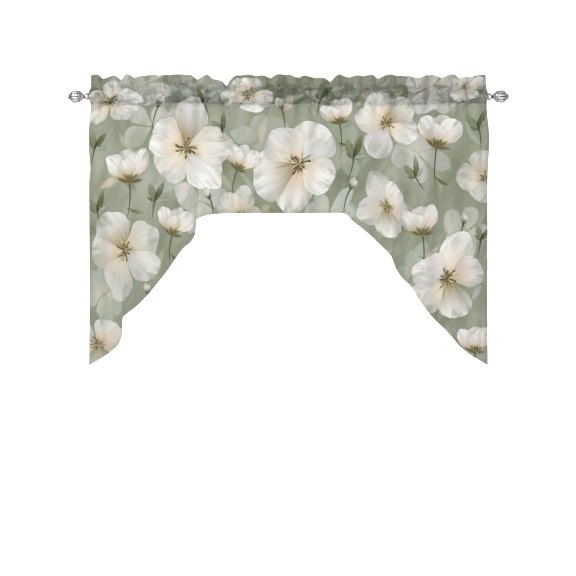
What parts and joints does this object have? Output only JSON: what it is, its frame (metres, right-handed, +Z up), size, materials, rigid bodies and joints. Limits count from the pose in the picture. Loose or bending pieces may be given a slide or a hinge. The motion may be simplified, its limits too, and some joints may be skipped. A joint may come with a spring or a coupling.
{
  "type": "swag and tail drape on a curtain rod",
  "caption": "Printed cloth swag with pointed side tails and a frilled heading, gathered on a slim metal curtain rod with fluted finials.",
  "frame": {"origin": "on the rod's axis, midway along it", "axes": "+X along the rod to the right as seen from the room, +Z up, the cloth's front faces -Y and the wall is at +Y"},
  "size_m": [1.394, 0.038, 0.9141],
  "materials": {
    "printed_cloth": "matt printed cotton",
    "bright_metal": "polished"
  },
  "bodies": {
    "root": {"drape": "printed_cloth", "rod": "bright_metal", "finial_left": "bright_metal", "finial_right": "bright_metal"}
  },
  "joints": []
}
